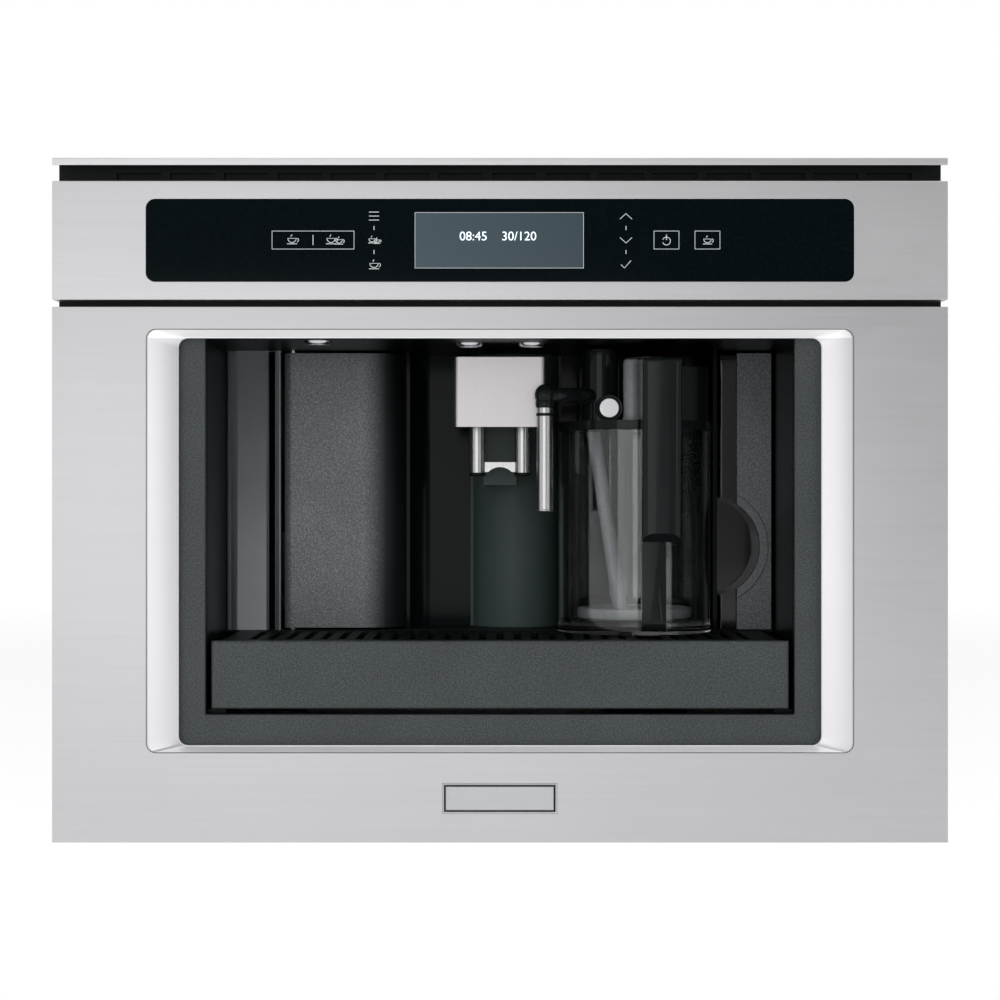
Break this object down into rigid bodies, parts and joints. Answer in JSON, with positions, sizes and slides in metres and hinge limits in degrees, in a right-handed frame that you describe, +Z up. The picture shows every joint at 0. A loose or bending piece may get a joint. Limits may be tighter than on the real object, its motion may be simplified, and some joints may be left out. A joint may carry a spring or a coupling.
{
  "type": "built in coffee machine",
  "caption": "Built-in bean-to-cup coffee machine: steel front, touch panel, open niche with outlet, milk jug, tank and drip tray, on pull-out slides.",
  "frame": {"origin": "on the floor of the cabinet niche, under the centre of the box round the machine", "axes": "+Z up, +Y towards the back of the machine, so the front faces -Y, and +X to the right seen from the front"},
  "size_m": [0.595, 0.412, 0.455],
  "materials": {
    "brushed_steel": "fine horizontal brushing, satin",
    "touch_glass": "glossy black printed glass",
    "display_electronics": "circuit board laminate",
    "grey_metallic": "fine-textured dark grey metallic paint",
    "niche_black": "matt black moulding",
    "gloss_black": "glossy black moulding",
    "clear_plastic": "clear plastic",
    "milk_tube": "pale grey tube",
    "chrome_parts": "polished",
    "lamp_glass": "frosted lens",
    "tray_plastic": "matt black moulding",
    "grille_steel": "satin",
    "case_sheet": "zinc coated sheet",
    "slide_steel": "bright zinc",
    "foot_rubber": "matt",
    "smoked_plastic": "smoked",
    "grinder_metal": "cast",
    "motor_dark": "dark paint",
    "socket_black": "matt",
    "hose_silicone": "milky"
  },
  "bodies": {
    "cabinet_rails": {"rail_outer_left": "slide_steel", "rail_outer_right": "slide_steel"},
    "rail_middles": {"rail_middle_left": "slide_steel", "rail_middle_right": "slide_steel"},
    "machine": {"rail_inner_left": "slide_steel", "rail_inner_right": "slide_steel", "base_pan": "case_sheet", "side_panel_left": "case_sheet", "side_panel_right": "case_sheet", "rear_panel": "case_sheet", "top_panel": "case_sheet", "inner_shelf": "case_sheet", "feet": "foot_rubber", "front_carrier": "niche_black", "top_trim": "brushed_steel", "control_fascia": "brushed_steel", "control_glass": "touch_glass", "display_module": "display_electronics", "front_frame": "brushed_steel", "bezel": "grey_metallic", "niche_liner": "niche_black", "niche_back": "gloss_black", "lamp_lenses": "lamp_glass", "hinge_pins": "chrome_parts", "spout_guide": "gloss_black", "steam_nozzle": "chrome_parts", "bean_hopper": "smoked_plastic", "grinder_housing": "grinder_metal", "grinder_motor": "motor_dark", "brew_frame": "tray_plastic", "brew_motor": "motor_dark", "coffee_boiler": "grinder_metal", "steam_boiler": "grinder_metal", "pump": "motor_dark", "power_board": "display_electronics", "mains_inlet": "socket_black", "water_hoses": "hose_silicone"},
    "service_door": {"service_door": "grey_metallic"},
    "coffee_outlet": {"spout_cover": "brushed_steel", "spout_carriage": "gloss_black", "spout_tubes": "chrome_parts"},
    "tray": {"drip_tray": "tray_plastic", "tray_front": "grey_metallic", "cup_grille": "grille_steel", "grounds_bin": "tray_plastic"},
    "milk_jug": {"jug_container": "clear_plastic", "jug_lid": "gloss_black", "jug_handle": "gloss_black", "milk_intake_tube": "milk_tube", "milk_spout_arm": "gloss_black", "milk_spout_tube": "chrome_parts"},
    "clean_button": {"clean_button": "chrome_parts"},
    "water_tank": {"water_tank": "clear_plastic", "tank_front": "grey_metallic", "tank_lid": "tray_plastic"},
    "bean_lid": {"bean_lid": "tray_plastic"},
    "grind_knob": {"grind_knob": "tray_plastic"},
    "burr": {"lower_burr": "grinder_metal"},
    "brew_piston": {"brew_piston": "tray_plastic"},
    "brew_screw": {"brew_screw": "grinder_metal"}
  },
  "joints": [
    {"name": "machine_slide", "type": "slide", "parent": "cabinet_rails", "child": "machine", "axis": [0, -1, 0], "range_m": [0, 0.33]},
    {"name": "rail_middle_slide", "type": "slide", "parent": "cabinet_rails", "child": "rail_middles", "axis": [0, -1, 0], "range_m": [0, 0.165]},
    {"name": "service_door_hinge", "type": "hinge", "parent": "machine", "child": "service_door", "pos_m": [-0.1505, -0.073, 0.235], "axis": [0, 0, -1], "range_deg": [0, 95]},
    {"name": "outlet_height", "type": "slide", "parent": "machine", "child": "coffee_outlet", "axis": [0, 0, -1], "range_m": [0, 0.035]},
    {"name": "tray_slide", "type": "slide", "parent": "machine", "child": "tray", "axis": [0, -1, 0], "range_m": [0, 0.25]},
    {"name": "jug_slide", "type": "slide", "parent": "machine", "child": "milk_jug", "axis": [0, -1, 0], "range_m": [0, 0.25]},
    {"name": "clean_button_press", "type": "slide", "parent": "milk_jug", "child": "clean_button", "axis": [0, 1, 0], "range_m": [0, 0.0025], "stiffness_N_per_m": 400},
    {"name": "tank_slide", "type": "slide", "parent": "machine", "child": "water_tank", "axis": [0, -1, 0], "range_m": [0, 0.25]},
    {"name": "bean_lid_hinge", "type": "hinge", "parent": "machine", "child": "bean_lid", "pos_m": [-0.01, 0.1633, 0.4493], "axis": [-1, 0, 0], "range_deg": [0, 90]},
    {"name": "grind_knob_turn", "type": "hinge", "parent": "machine", "child": "grind_knob", "pos_m": [0.095, 0.1, 0.4463], "axis": [0, 0, 1], "range_deg": [-135, 135]},
    {"name": "burr_spin", "type": "hinge", "parent": "machine", "child": "burr", "pos_m": [-0.01, 0.1, 0.27], "axis": [0, 0, 1], "continuous": true},
    {"name": "brew_piston_lift", "type": "slide", "parent": "machine", "child": "brew_piston", "axis": [0, 0, 1], "range_m": [0, 0.03]},
    {"name": "brew_screw_turn", "type": "hinge", "parent": "machine", "child": "brew_screw", "pos_m": [-0.115, 0.024, 0.22], "axis": [0, 0, 1], "range_deg": [0, 1350]}
  ],
  "couplings": [
    {"joint": "rail_middle_slide", "follows": "machine_slide", "ratio": 0.5},
    {"joint": "brew_screw_turn", "follows": "brew_piston_lift", "rad_per_m": 785.4}
  ]
}
